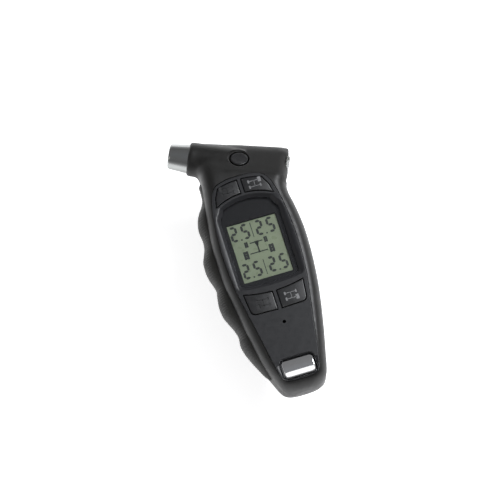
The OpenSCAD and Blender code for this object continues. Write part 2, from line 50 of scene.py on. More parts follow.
FACE_Z = 27.0
RECESS_Z = 25.2
INNER_Z = 23.4
SPLIT_Z = 13.0
WALL = 1.8
PANEL_T = 1.8
HEAD_TILT = 25.5
AXIS_Z = 13.5
COLLAR_R = 9.3
COLLAR_POS = (-21.0, 63.2)
COLLAR_LIP = 4.0
TORCH_S = 52.8
TORCH_LEAN = 12.0
TORCH_MID = -0.6
TORCH_W = 16.8
TORCH_SEAT = (14.2, TORCH_W - 1.2)
TORCH_BACK_S = 46.0
NOZZLE_LEN = 10.8
NOZZLE_R = 8.0
NOZZLE_TIP_R = 6.8
BORE_R = 4.2
SEAT = 1.8
KEY_GAP = 0.35
CAP_TOP = 27.5
KEY_CROWN = 0.28
STEM_R = 1.8
FLANGE_GROW = 0.6
MARK_DEPTH = 0.42
FLANGE_Z = 22.2
CHROME = (17.0, 10.0)
CHROME_Y = -68.2
CHROME_DOME_R = 11.0
POWER_POS = (4.3, 52.3)
POWER_R = 4.9
POWER_Z = 22.4
POWER_SLOPE = 25.0
POWER_TURN = -22.0
PLUNGER_TOP = 19.2
HOLE_Y = -43.0
WINDOW_HALF_W = 17.8
LCD_W, LCD_H = 27.0, 33.0
LCD_TOP = 17.0
LCD_Z = 22.1
POST_R = 2.6
BOARD_TOP = 16.6
BOARD_SCREWS = [(-12.5, -41.5), (12.5, -41.5), (4.5, 43.6)]
CELL_Y = -68.5
SCREWS = [(-17.3, 27), (20.4, 26), (-19.2, -20), (21, -20)]
DOOR_HINGE_Y = -23.5
DOOR_END_Y = -69.0
DOOR_TOP_Z = 1.9

# Place on the middle line, left half width, right half width, back level, drop of the front
BODY = [
    (-79.4, 4.6, 5.0, 8.5, 11.5), (-78.7, 7.8, 8.4, 5.4, 7.5),
    (-77.0, 10.2, 11.4, 2.8, 3.6), (-74.2, 11.8, 13.6, 0.9, 0.8),
    (-70.0, 13.4, 15.0, 0.0, 0.1), (-64.0, 15.7, 16.4, 0.0, 0.0),
    (-55.0, 18.0, 18.6, 0.0, 0.0), (-46.0, 19.6, 20.6, 0.0, 0.0),
    (-36.0, 21.0, 22.6, 0.0, 0.0), (-26.0, 22.5, 24.3, 0.0, 0.0),
    (-16.0, 23.6, 25.5, 0.0, 0.0), (-6.0, 24.2, 26.3, 0.0, 0.0),
    (4.0, 24.2, 26.6, 0.0, 0.0), (13.0, 23.5, 26.1, 0.0, 0.0),
    (20.0, 22.7, 25.3, 0.0, 0.0), (26.0, 21.6, 24.6, 0.0, 0.0),
    (33.0, 19.9, 24.2, 0.0, 0.0), (40.0, 18.9, 24.4, 0.0, 0.0),
    (44.0, 18.7, 25.8, 0.6, 0.4), (48.0, 18.6, 27.6, 1.4, 1.9),
    (53.0, 18.5, 29.6, 2.6, 4.1), (58.0, 17.6, 31.6, 4.0, 6.4),
    (62.0, 15.5, 33.2, 5.8, 8.6), (64.6, 12.5, 33.2, 8.2, 11.0),
    (65.6, 10.0, 32.2, 10.5, 13.2),
]
# Corner radii across and along z, the head's lean, and the extra lean of its far edge
FRONT_CORNER = (6.5, 8.0)
BACK_CORNER = (5.5, 5.5)
HEAD_SHEAR, SHEAR_START, SHEAR_END = 0.4, 22.0, 42.0
BROW_FLARE, BROW_START = 0.035, 56.0
TORCH_BROW = 8.0

# Distance behind the collar's mouth, radius
COLLAR = [
    (0.0, COLLAR_R - 0.9), (0.25, COLLAR_R - 0.45),
    (0.7, COLLAR_R - 0.2), (1.7, COLLAR_R),
    (COLLAR_LIP, COLLAR_R + 0.1), (8.0, COLLAR_R + 0.2),
    (20.0, COLLAR_R + 0.5), (30.0, COLLAR_R + 0.3),
]

# Y, outermost x, half height
GRIP = [
    (-67.5, -15.4, 3.0), (-64.5, -17.4, 5.8), (-60, -19.6, 7.6), (-54, -22.3, 8.3),
    (-49, -24.1, 8.5), (-45, -24.8, 8.5), (-40.5, -24.4, 8.3), (-36, -25.4, 8.4),
    (-31, -27.5, 8.6), (-26.5, -29.1, 8.7), (-22, -29.5, 8.7), (-16, -28.8, 8.6),
    (-12.5, -28.2, 8.5), (-9, -28.9, 8.6), (-5, -30.1, 8.7), (-0.5, -30.7, 8.7),
    (4, -30.5, 8.7), (8, -29.1, 8.6), (12, -27.6, 8.4), (16, -27.1, 8.4),
    (22, -27.6, 8.4), (27, -26.8, 8.2), (31.5, -24.8, 8.0), (35, -22.4, 7.7),
    (38.5, -20.9, 7.2), (42, -20.5, 6.4), (45.5, -20.4, 4.6), (47.5, -19.6, 2.4),
]
GRIP_Z = 11.6
GRIP_DEPTH = 12
GRIP_BUMPS, GRIP_BUMP_W = (-45.0, -22.0, 1.5, 22.0), 7.0
RIB_PITCH, RIB_DEPTH, RIB_FADE = 1.35, 0.55, 9

# ---------- mesh helpers ----------


def get_vertices(mesh):
    """Array of a mesh's vertices, in metres."""
    co = np.zeros(len(mesh.vertices) * 3)
    mesh.vertices.foreach_get("co", co)
    return co.reshape(-1, 3)


def set_vertices(mesh, co):
    mesh.vertices.foreach_set("co", co.ravel())
    mesh.update()


def add_mesh(name, points, faces):
    """A mesh object through points in millimetres."""
    mesh = bpy.data.meshes.new(name)
    mesh.from_pydata((np.asarray(points, float) * MM).tolist(), [], faces)
    mesh.validate()
    obj = bpy.data.objects.new(name, mesh)
    bpy.context.scene.collection.objects.link(obj)
    return obj


def loft(name, rings, closed=False):
    """Solid through rings with equal numbers of points, with flat ends or closed on itself."""
    rings = np.asarray(rings, float)
    count, n = rings.shape[:2]
    faces = []
    for i in range(count if closed else count - 1):
        a, b = i * n, (i + 1) % count * n
        for j in range(n):
            k = (j + 1) % n
            faces.append((a + j, b + j, b + k, a + k))
    if not closed:
        faces += [tuple(range(n)), tuple(range(count * n - 1, (count - 1) * n - 1, -1))]
    return outwards(add_mesh(name, rings.reshape(-1, 3), faces))


def outwards(obj):
    """Turns a closed solid's faces outwards, by the sign of its volume."""
    mesh = obj.data
    mesh.calc_loop_triangles()
    co = get_vertices(mesh)
    tri = np.zeros(len(mesh.loop_triangles) * 3, int)
    mesh.loop_triangles.foreach_get("vertices", tri)
    a, b, c = (co[tri.reshape(-1, 3)[:, i]] for i in range(3))
    if np.einsum("ij,ij->i", a, np.cross(b, c)).sum() < 0:
        mesh.flip_normals()
    return obj


def move(obj, matrix):
    """Places a new object's mesh by a matrix whose shift is in millimetres."""
    matrix = matrix.copy()
    matrix.translation = matrix.translation * MM
    obj.data.transform(matrix)
    return obj


def bake(obj):
    """Applies the object's modifiers, or turns a curve into a mesh."""
    graph = bpy.context.evaluated_depsgraph_get()
    mesh = bpy.data.meshes.new_from_object(obj.evaluated_get(graph))
    name = obj.name
    bpy.data.objects.remove(obj)
    result = bpy.data.objects.new(name, mesh)
    bpy.context.scene.collection.objects.link(result)
    return result


def combine(obj, other, operation, keep=False):
    """Boolean of two solids. Other is removed unless it is kept."""
    mod = obj.modifiers.new("combine", "BOOLEAN")
    mod.operation = operation
    mod.solver = "MANIFOLD"
    mod.object = other
    obj = bake(obj)
    if not keep:
        bpy.data.objects.remove(other)
    return obj


def cut(obj, other):
    return combine(obj, other, "DIFFERENCE")


def join(obj, other):
    return combine(obj, other, "UNION")


def copy_of(obj, name):
    other = bpy.data.objects.new(name, obj.data.copy())
    bpy.context.scene.collection.objects.link(other)
    return other


def at(outline, z):
    return [(x, y, z) for x, y in outline]


def prism(name, outline, z0, z1):
    return loft(name, [at(outline, z0), at(outline, z1)])


def block(name, x, y, z):
    """Box between the two values of each axis."""
    outline = [(x[0], y[0]), (x[1], y[0]), (x[1], y[1]), (x[0], y[1])]
    return prism(name, outline, *z)


def spun(r, z, i, steps):
    """Point of a radius and height, turned i of so many steps about Z."""
    a = 2 * math.pi * i / steps
    return (r * math.cos(a), r * math.sin(a), z)


def revolve(name, profile, steps=96):
    """Solid of revolution about Z through (radius, z) pairs, with flat ends."""
    return loft(name, [[spun(r, z, i, steps) for i in range(steps)] for r, z in profile])


def ring_solid(name, profile, steps):
    """Ring whose closed profile of (radius, z) pairs stays off the axis."""
    return loft(name, [[spun(r, z, i, steps) for r, z in profile] for i in range(steps)], closed=True)


def remesh(obj, voxel):
    """Rebuilds a solid's surface from voxels of a size in millimetres."""
    mod = obj.modifiers.new("remesh", "REMESH")
    mod.mode = "VOXEL"
    mod.voxel_size = voxel * MM
    return bake(obj)


def relax(obj, rounds, weight=None):
    """Smooths a mesh by moving each vertex towards the middle of its neighbours."""
    mesh = obj.data
    co = get_vertices(mesh)
    edges = np.zeros(len(mesh.edges) * 2, int)
    mesh.edges.foreach_get("vertices", edges)
    a, b = edges.reshape(-1, 2).T
    degree = np.bincount(np.concatenate([a, b]), minlength=len(co))[:, None].clip(1)
    w = 0.5 if weight is None else 0.5 * weight(co / MM)[:, None]
    for _ in range(rounds):
        total = np.zeros_like(co)
        for k in range(3):
            total[:, k] = np.bincount(a, co[b, k], len(co)) + np.bincount(b, co[a, k], len(co))
        co = co + w * (total / degree - co)
    set_vertices(mesh, co)
    return obj


def soften(obj, angle):
    """Smooth shading with sharp edges above an angle."""
    mesh = obj.data
    mesh.shade_smooth()
    mesh.set_sharp_from_angle(angle=math.radians(angle))
    level = obj.modifiers.new("level", "WEIGHTED_NORMAL")
    level.keep_sharp = True
    return obj


def step(x, low, high):
    """Smooth rise from 0 at low to 1 at high."""
    t = np.clip((x - low) / (high - low), 0, 1)
    return t * t * (3 - 2 * t)


def smooth_stations(stations, spacing):
    """More stations between the given ones, without overshoot."""
    st = np.array(stations, float)
    gap = np.linalg.norm(np.diff(st, axis=0), axis=1)[:, None]
    rate = np.diff(st, axis=0) / gap
    slope = np.zeros_like(st)
    before, after = rate[:-1], rate[1:]
    same = before * after > 0
    total = np.where(same, before + after, 1.0)
    slope[1:-1] = np.where(same, 2 * before * after / total, 0.0)
    slope[0], slope[-1] = rate[0], rate[-1]
    rows = []
    for i, g in enumerate(gap[:, 0]):
        n = max(1, round(g / spacing))
        for t in np.arange(n) / n:
            rows.append(
                (2 * t**3 - 3 * t**2 + 1) * st[i]
                + (t**3 - 2 * t**2 + t) * g * slope[i]
                + (3 * t**2 - 2 * t**3) * st[i + 1]
                + (t**3 - t**2) * g * slope[i + 1]
            )
    rows.append(st[-1])
    return np.array(rows)


def arc(centre, radii, a0, a1, n):
    """n + 1 points along an ellipse from one angle to another, in degrees."""
    return [
        (
            centre[0] + radii[0] * math.cos(math.radians(a0 + (a1 - a0) * i / n)),
            centre[1] + radii[1] * math.sin(math.radians(a0 + (a1 - a0) * i / n)),
        )
        for i in range(n + 1)
    ]


def circle(x, y, r, n=24):
    return arc((x, y), (r, r), 0, 360 - 360 / n, n - 1)


def smooth_outline(points, spacing=0.6):
    """Closed Catmull-Rom curve through the points."""
    p = np.array(points, float)
    out = []
    for i in range(len(p)):
        p0, p1, p2, p3 = (p[(i + k) % len(p)] for k in (-1, 0, 1, 2))
        n = max(1, round(float(np.linalg.norm(p2 - p1)) / spacing))
        for t in np.arange(n) / n:
            out.append(
                0.5
                * (
                    2 * p1
                    + (p2 - p0) * t
                    + (2 * p0 - 5 * p1 + 4 * p2 - p3) * t**2
                    + (3 * p1 - p0 - 3 * p2 + p3) * t**3
                )
            )
    return [tuple(q) for q in out]


def shrink(outline, distance):
    """Outline moved inwards by a distance, for outlines that run anticlockwise."""
    p = np.array(outline, float)
    area = np.sum(p[:, 0] * np.roll(p[:, 1], -1) - p[:, 1] * np.roll(p[:, 0], -1))
    tangent = np.roll(p, -1, 0) - np.roll(p, 1, 0)
    tangent /= np.linalg.norm(tangent, axis=1)[:, None].clip(1e-9)
    normal = np.stack([-tangent[:, 1], tangent[:, 0]], 1) * np.sign(area)
    return [tuple(q) for q in p + normal * distance]


def plate(name, outlines, z0, z1, edge):
    """Flat plate with rounded edges, from one outline and the holes in it."""
    curve = bpy.data.curves.new(name, "CURVE")
    curve.dimensions = "2D"
    curve.fill_mode = "BOTH"
    for outline in outlines:
        spline = curve.splines.new("POLY")
        spline.points.add(len(outline) - 1)
        for point, (x, y) in zip(spline.points, outline):
            point.co = (x * MM, y * MM, 0, 1)
        spline.use_cyclic_u = True
    curve.extrude = ((z1 - z0) / 2 - edge) * MM
    curve.bevel_depth = edge * MM
    curve.bevel_resolution = 2
    curve.offset = -edge * MM
    obj = bpy.data.objects.new(name, curve)
    bpy.context.scene.collection.objects.link(obj)
    obj = bake(obj)
    weld = bmesh.new()
    weld.from_mesh(obj.data)
    bmesh.ops.remove_doubles(weld, verts=weld.verts, dist=0.002 * MM)
    bmesh.ops.recalc_face_normals(weld, faces=weld.faces)
    weld.to_mesh(obj.data)
    weld.free()
    return move(obj, Matrix.Translation((0, 0, (z0 + z1) / 2)))


def rounded_box(x0, x1, y0, y1, high, low, n):
    """Box outline whose two upper and two lower corners have their own radii in x and y."""
    return (
        arc((x1 - high[0], y1 - high[1]), high, 0, 90, n)
        + arc((x0 + high[0], y1 - high[1]), high, 90, 180, n)
        + arc((x0 + low[0], y0 + low[1]), low, 180, 270, n)
        + arc((x1 - low[0], y0 + low[1]), low, 270, 360, n)
    )


def rounded_rect(cx, cy, w, h, r, n=6):
    return rounded_box(cx - w / 2, cx + w / 2, cy - h / 2, cy + h / 2, (r, r), (r, r), n)


# ---------- outlines, as in the CAD ----------

ARCH_C, ARCH_R = -0.8, 31.0
SILL_C, SILL_R = 78.4, 100.0
TOP_KEY_R, TOP_KEY_OUTER_R = 32.5, 40.1
LOW_KEY_C, LOW_KEY_R = 35.8, 61.3
KEY_INNER_X = 1.3


def acos_degrees(value):
    return math.degrees(math.acos(value))


def asin_degrees(value):
    return math.degrees(math.asin(value))


def both_sides(right):
    """Outline from its right half, which runs upwards."""
    return right + [(-x, y) for x, y in reversed(right)]


def flipped(outline):
    """Mirror image, left for right."""
    return [(-x, y) for x, y in reversed(outline)]


def panel_outline(g):
    """Outline of the face panel, grown by g."""
    return smooth_outline(
        both_sides(
            [
                (3, -74.5 - g), (7.4, -74 - g), (10.2 + g, -71.6), (12.3 + g, -62.5),
                (15 + g, -46), (17.2 + g, -33), (19.3 + g, -20), (20.4 + g, -3),
                (20.1 + g, 10), (19 + g, 22), (17.8 + g, 29), (16 + g, 35),
                (13 + g, 39 + g), (8, 40.9 + g), (3, 41.5 + g),
            ]
        )
    )


def window_outline(grow):
    """Outline of the display window: arched top, bowed sill, rounded corners."""
    w = WINDOW_HALF_W + grow
    top_a = acos_degrees((w - 3.2) / (ARCH_R + grow))
    low_a = asin_degrees((w - 2.4) / (SILL_R + grow))
    return both_sides(
        arc((0, SILL_C), (SILL_R + grow,) * 2, -89.6, low_a - 90, 8)
        + arc((w - 2, -18.4 - grow), (2, 2), -60, 0, 6)
        + arc((w - 5, 20 + grow), (5, 5), 0, 48, 8)
        + arc((0, ARCH_C), (ARCH_R + grow,) * 2, top_a, 89.6, 20)
    )


def top_key_outline(grow):
    """Outline of the right key over the window."""
    low, high, x0 = TOP_KEY_R - grow, TOP_KEY_OUTER_R + grow, KEY_INNER_X - grow
    low_end, high_end = acos_degrees((15.7 + grow) / low), acos_degrees((11.9 + grow) / high)
    return (
        arc((0, ARCH_C), (low, low), acos_degrees(x0 / low), low_end, 14)
        + [(14.6 + grow, 32.6)]
        + arc((0, ARCH_C), (high, high), high_end, acos_degrees(x0 / high), 12)
    )


def low_key_outline(grow):
    """Outline of the right key under the window."""
    r, x0 = LOW_KEY_R - grow, KEY_INNER_X - grow
    start, end = asin_degrees((16.2 + grow) / r) - 90, asin_degrees(x0 / r) - 90
    return (
        arc((0, LOW_KEY_C), (r, r), start, end, 12)
        + [(x0, -35.4 - grow)]
        + arc((12.6, -32.4), (2.6 + grow,) * 2, -90, -12, 8)
    )


def power_point(u, v):
    """From the power button's own axes, of which v runs up the slope of the head."""
    turn = math.radians(POWER_TURN)
    return (
        POWER_POS[0] + u * math.cos(turn) - v * math.sin(turn),
        POWER_POS[1] + u * math.sin(turn) + v * math.cos(turn),
    )


def power_drop(x, y):
    """How far the slope of the head lies below the middle of the power button."""
    turn = math.radians(POWER_TURN)
    up_slope = -math.sin(turn) * (x - POWER_POS[0]) + math.cos(turn) * (y - POWER_POS[1])
    return up_slope * math.tan(math.radians(POWER_SLOPE))


def power_outline(grow, n=48):
    """Outline of the power button, foreshortened by the slope it lies on."""
    short = POWER_R * math.cos(math.radians(POWER_SLOPE))
    out = []
    for i in range(n):
        a = 2 * math.pi * i / n
        out.append(power_point((POWER_R + grow) * math.cos(a), (short + grow) * math.sin(a)))
    return out


def door_outline(grow):
    return both_sides(
        [
            (9.3, DOOR_END_Y - grow),
            (10.6 + grow, DOOR_END_Y + 1.5),
            (14 + grow, DOOR_HINGE_Y + grow),
        ]
    )


# Outline of each store key, as a function of how far it grows
KEYS = {
    "front_left": lambda grow: flipped(top_key_outline(grow)),
    "front_right": top_key_outline,
    "rear_left": lambda grow: flipped(low_key_outline(grow)),
    "rear_right": low_key_outline,
}
STEM_POS = {
    "front_left": (-8.2, 34.2), "front_right": (8.2, 34.2),
    "rear_left": (-8.2, -30), "rear_right": (8.2, -30),
}

# ---------- body shell ----------


def shear_at(y):
    """How far the cross section at y leans towards the head's own direction."""
    slope = HEAD_SHEAR * min(max((y - SHEAR_START) / (SHEAR_END - SHEAR_START), 0), 1)
    return slope - BROW_FLARE * max((y - BROW_START) / (BODY[-1][0] - BROW_START), 0)


def body_ring(station, inset, front_inset, n=9):
    """Cross section of the body at a station, set in from its sides and front."""
    y, left, right, back, drop = station
    x0, x1, z0, z1 = inset - left, right - inset, back + inset, FACE_Z - drop - front_inset
    w, h = (x1 - x0) / 2 * 0.96, (z1 - z0) / 2 * 0.96
    front_radii = (min(FRONT_CORNER[0] - inset, w), min(FRONT_CORNER[1] - inset, h))
    back_radii = (min(BACK_CORNER[0] - inset, w), min(BACK_CORNER[1] - inset, h))
    outline = rounded_box(x0, x1, z0, z1, front_radii, back_radii, n)
    return [(x, y - x * shear_at(y), z) for x, z in outline]


NOZZLE_FRAME = (
    Matrix.Translation((*COLLAR_POS, AXIS_Z))
    @ Matrix.Rotation(math.radians(180 - HEAD_TILT), 4, "Z")
    @ Matrix.Rotation(math.radians(90), 4, "Y")
)
TORCH_FRAME = (
    NOZZLE_FRAME
    @ Matrix.Translation((0, TORCH_MID, -TORCH_S))
    @ Matrix.Rotation(math.radians(-TORCH_LEAN), 4, "Y")
)


def outer_body():
    """The whole outside: lofted handle and head, end cut for the torch, collar for the nozzle."""
    obj = loft("outer", [body_ring(st, 0, 0) for st in smooth_stations(BODY, 1.0)])
    half = TORCH_W / 2
    beyond = block("beyond_torch", (-40, 40), (-half - TORCH_BROW, half), (-40, 0))
    obj = cut(obj, move(beyond, TORCH_FRAME))
    collar = revolve("collar", [(r, -s) for s, r in COLLAR])
    obj = join(obj, move(collar, NOZZLE_FRAME))
    obj = remesh(obj, 0.5)
    relax(obj, 3)

    def near_collar(p):
        """Where the collar runs into the handle and the head with a soft hollow."""
        axis = np.array([math.cos(math.radians(HEAD_TILT)), -math.sin(math.radians(HEAD_TILT)), 0])
        rel = p - np.array([*COLLAR_POS, AXIS_Z])
        along = rel @ axis
        radial = np.linalg.norm(rel - along[:, None] * axis, axis=1)
        weight = step(along, 1.5, 5) * (1 - step(along, 18, 27))
        return weight * (1 - step(radial, 15, 24))

    relax(obj, 70, near_collar)
    return obj


def inner_body():
    """The room inside the covers."""
    rings = []
    for y, left, right, back, drop in smooth_stations(BODY, 2.0):
        if -77.9 < y < 62.5:
            in_head = y > 42
            station = (y + (1.2 if y < -76 else 0), left, right - (3 if in_head else 0), back, drop)
            rings.append(body_ring(station, WALL, WALL + (0 if in_head else PANEL_T), 5))
    obj = loft("inner", rings)
    tube = revolve("inner_tube", [(r - WALL, -s) for s, r in COLLAR if s >= COLLAR_LIP], 48)
    return join(obj, move(tube, NOZZLE_FRAME))


def power_hole():
    """Hole with a flared rim, square to the slope of the head."""
    levels = [(KEY_GAP, -4.0), (KEY_GAP, -0.9), (0.5, -0.35), (0.8, -0.05), (1.2, 0.25), (1.9, 1.5)]
    rings = []
    for grow, level in levels:
        tilt = float(step(level, -2.5, -0.9))
        rings.append([(x, y, POWER_Z + level - power_drop(x, y) * tilt) for x, y in power_outline(grow)])
    return loft("power_hole", rings)


def nozzle_hole():
    profile = [(6.9, -COLLAR_LIP - 2), (6.9, -1.6), (NOZZLE_R + 0.2, -1.55), (NOZZLE_R + 0.25, 4)]
    return move(revolve("nozzle_hole", profile), NOZZLE_FRAME)


def post(x, y, r, z0, z1):
    return prism("post", circle(x, y, r), z0, z1)


def torch_pocket():
    """Seat of the torch lens, with a smaller opening behind it."""
    seat = prism("torch_seat", rounded_rect(0, 0, *TORCH_SEAT, 4), -6, 1.5)
    hole = rounded_rect(1.5, 0, 10, TORCH_SEAT[1] - 2, 3)
    hole = prism("torch_hole", hole, -TORCH_S, -TORCH_BACK_S + 1)
    middle = NOZZLE_FRAME @ Matrix.Translation((0, TORCH_MID, 0))
    return join(move(seat, TORCH_FRAME), move(hole, middle))


outer = outer_body()
inner = inner_body()
grip_cutter = copy_of(outer, "grip_cutter")
hollow = cut(copy_of(outer, "hollow"), inner)
hollow = cut(hollow, nozzle_hole())
hollow = cut(hollow, torch_pocket())
SEAM = 0.09
PLAN = ((-60, 60), (-100, 100))

# Front cover
above = block("above", *PLAN, (SPLIT_Z + SEAM, 40))
front = combine(copy_of(hollow, "front_shell"), above, "INTERSECT")
front = cut(front, prism("panel_room", panel_outline(0.22), RECESS_Z, 30))
front = cut(front, prism("window_room", window_outline(-1), INNER_Z - 1, 30))
for key_outline in KEYS.values():
    front = cut(front, prism("key_room", key_outline(KEY_GAP), FLANGE_Z - 1, 30))
chrome_hole = rounded_rect(0, CHROME_Y, CHROME[0] + 2 * KEY_GAP, CHROME[1] + 2 * KEY_GAP, 2.35)
front = cut(front, prism("chrome_room", chrome_hole, FLANGE_Z - 1, 30))
front = cut(front, power_hole())
front = cut(front, prism("sounder_room", circle(0, HOLE_Y, 0.8, 16), 20, 30))
for x, y in SCREWS:
    front = join(front, post(x, y, POST_R, SPLIT_Z + SEAM, 21.5))
for x, y in BOARD_SCREWS:
    front = join(front, post(x, y, 2.0, BOARD_TOP, INNER_Z + 0.4))
    front = cut(front, post(x, y, 0.85, BOARD_TOP - 1, 21.0))

# Rear cover, with the walls of the cell bay
below = block("below", *PLAN, (-5, SPLIT_Z - SEAM))
rear = combine(copy_of(hollow, "rear_shell"), below, "INTERSECT")
for x, y in SCREWS:
    screw_post = combine(post(x, y, POST_R, 1, SPLIT_Z - SEAM), outer, "INTERSECT", keep=True)
    rear = join(rear, screw_post)
for half, y in ((13, CELL_Y + 47.3), (10.8, CELL_Y - 1.6)):
    rear = join(rear, block("bay_wall", (-half, half), (y, y + 1.2), (1.6, 11.6)))
rear = cut(rear, prism("door_room", door_outline(0.2), -1, 4.4))
SCREW_ROOM = [(2.45, -1), (2.45, 0.02), (2.2, 0.3), (2.2, 2.6), (1.15, 2.61), (1.15, 20)]
for x, y in SCREWS:
    recess = revolve("screw_room", SCREW_ROOM, 32)
    rear = cut(rear, move(recess, Matrix.Translation((x, y, 0))))
bpy.data.objects.remove(hollow)

# ---------- face panel, lens, keys ----------

panel = plate("panel", [panel_outline(-0.02)], RECESS_Z + 0.02, FACE_Z, 0.28)
window_cut = loft(
    "window_cut",
    [
        at(window_outline(grow), z)
        for grow, z in (
            (-1.7, 24.5), (-1.7, 25.35), (-1.6, 25.55), (-0.85, 26.25),
            (-0.3, 26.75), (-0.02, 26.93), (0.3, 27.0), (0.32, 28.0),
        )
    ],
)
panel = cut(panel, window_cut)


def key_cutter(outline):
    """Hole with a small rounded rim."""
    levels = [(0, 24), (0, FACE_Z - 0.3), (0.06, FACE_Z - 0.12), (0.2, FACE_Z + 0.001), (0.24, 28)]
    return loft("key_cut", [at(shrink(outline, -grow), z) for grow, z in levels])


for key_outline in KEYS.values():
    panel = cut(panel, key_cutter(key_outline(KEY_GAP)))


def chrome_cutter():
    """Hole for the chrome key, with a wider rim."""
    rings = []
    for grow, z in ((0, 24), (0, 25.6), (0.25, 26.3), (0.55, 26.75), (0.85, 27.0), (0.9, 28)):
        w, h = CHROME[0] + 2 * (KEY_GAP + grow), CHROME[1] + 2 * (KEY_GAP + grow)
        rings.append(at(rounded_rect(0, CHROME_Y, w, h, 2.35 + grow), z))
    return loft("chrome_cut", rings)


panel = cut(panel, chrome_cutter())
SOUNDER_RIM = ((0.8, 24), (0.8, 26.7), (0.95, 27.0), (1.0, 28))
panel = cut(panel, loft("sounder_cut", [at(circle(0, HOLE_Y, r, 16), z) for r, z in SOUNDER_RIM]))

lens = plate("lens", [window_outline(-1.1)], INNER_Z + 0.01, RECESS_Z - 0.03, 0.08)

# Black frame of the display, bevelled round the opening, and the walls under it
mask = plate("display_mask", [window_outline(-0.6)], 22.3, 23.3, 0.1)
opening = []
for grow, z in ((0, 21), (0, 22.7), (0.5, 23.4)):
    w, h = LCD_W + 2 * grow, LCD_H + 2 * grow
    opening.append(at(rounded_rect(0, LCD_TOP - LCD_H / 2, w, h, 0.5 + grow, 3), z))
mask = cut(mask, loft("lcd_opening", opening))
mask_tube = cut(
    block("mask_tube", (-16.3, 16.3), (-20.8, 21.8), (16.62, 22.31)),
    block("mask_tube_hole", (-15.4, 15.4), (-19.8, 20.8), (10, 30)),
)
mask = join(mask, mask_tube)

# ---------- display ----------


def lcd_point(a, b):
    """From distances right of and below the visible corner of the LCD."""
    return (a - LCD_W / 2, LCD_TOP - b)


def bar(p, q, width, pointed=True):
    """Straight segment with pointed or square ends."""
    p, q = Vector(p), Vector(q)
    along = (q - p).normalized()
    side = Vector((-along.y, along.x)) * width / 2
    if not pointed:
        return [tuple(v) for v in (p - side, q - side, q + side, p + side)]
    tip = along * width / 2
    return [
        tuple(v)
        for v in (p, p + tip - side, q - tip - side, q, q - tip + side, p + tip + side)
    ]


DIGIT_W, DIGIT_H, STROKE = 2.9, 7.45, 1.3
SEGMENTS = {
    "top": ((0, 1), (1, 1)), "middle": ((0, 0.5), (1, 0.5)), "bottom": ((0, 0), (1, 0)),
    "upper_left": ((0, 0.5), (0, 1)), "upper_right": ((1, 0.5), (1, 1)),
    "lower_left": ((0, 0), (0, 0.5)), "lower_right": ((1, 0), (1, 0.5)),
}
DIGITS = {
    2: ("top", "upper_right", "middle", "lower_left", "bottom"),
    5: ("top", "upper_left", "middle", "lower_right", "bottom"),
}


def digit(value, a, b):
    """Seven-segment digit with its upper left corner at (a, b)."""
    shapes = []
    for name in DIGITS[value]:
        ends = []
        for u, v in SEGMENTS[name]:
            ends.append(lcd_point(a + STROKE / 2 + u * DIGIT_W, b + STROKE / 2 + (1 - v) * DIGIT_H))
        p, q = Vector(ends[0]), Vector(ends[1])
        gap = (q - p).normalized() * 0.12
        shapes.append(bar(p + gap, q - gap, STROKE))
    return shapes


def flat_shapes(name, shapes, z, thick):
    """Thin solids from outlines, joined in one object."""
    points, faces = [], []
    for outline in shapes:
        n, first = len(outline), len(points)
        points += at(outline, z) + at(outline, z + thick)
        area = sum(
            outline[i - 1][0] * outline[i][1] - outline[i][0] * outline[i - 1][1] for i in range(n)
        )
        order = list(range(n)) if area > 0 else list(range(n - 1, -1, -1))
        faces.append(tuple(first + n + i for i in order))
        faces.append(tuple(first + i for i in reversed(order)))
        for k in range(n):
            i, j = order[k], order[(k + 1) % n]
            faces.append((first + i, first + j, first + n + j, first + n + i))
    return add_mesh(name, points, faces)


ink = []
for a, b in ((0.5, 0.7), (14.5, 0.7), (0.8, 22.3), (15.2, 22.1)):
    ink += digit(2, a, b) + digit(5, a + 6.3, b)
    ink.append(rounded_rect(*lcd_point(a + 5.3, b + 8.4), 0.85, 0.85, 0.2, 2))
# Two lines between the readings, then a car from above: its axles and shaft
for start, end, width in (
    ((12.5, 1.0), (12.5, 9.4), 0.4), ((13.3, 22.6), (13.3, 31.2), 0.4),
    ((9.2, 12.2), (16.2, 12.2), 0.6), ((7.8, 18.0), (17.6, 18.0), 0.6), ((12.9, 12.2), (12.9, 18.0), 0.8),
):
    ink.append(bar(lcd_point(*start), lcd_point(*end), width, False))
# The wedges on its axles
for wedge in (
    ((11.6, 11.7), (12.4, 14.4), (13.4, 14.4), (14.2, 11.7)),
    ((12.2, 18.4), (13.6, 18.4), (13.2, 16.8), (12.6, 16.8)),
):
    ink.append([lcd_point(a, b) for a, b in wedge])
# Its wheels, with a line of tread down the middle
for a, b, w, h in (
    (7.2, 12.5, 1.9, 3.2), (18.0, 12.2, 1.9, 3.2), (5.6, 18.2, 2.8, 4.6), (19.8, 17.8, 2.8, 4.6),
):
    x, y = lcd_point(a, b)
    for side in (-1, 1):
        ink.append(rounded_rect(x + side * w * 0.27, y, w * 0.45, h, 0.25, 2))
    for row in (-0.34, 0, 0.34):
        ink.append(rounded_rect(x, y + row * h, w * 0.3, h * 0.22, 0.1, 2))
lcd_ink = flat_shapes("lcd_ink", ink, LCD_Z + 0.02, 0.04)
lcd = plate("lcd_plate", [rounded_rect(0, 0.5, 30.4, 39.8, 0.3, 2)], 20.0, LCD_Z, 0.1)

# ---------- buttons ----------


def with_foot(obj, stem, flange):
    """Adds the stem that meets the plunger and the flange that holds a key in."""
    obj = join(obj, prism("stem", stem, PLUNGER_TOP, FLANGE_Z + 0.5))
    return join(obj, prism("flange", flange, FLANGE_Z - 0.001, FLANGE_Z + 1.1))


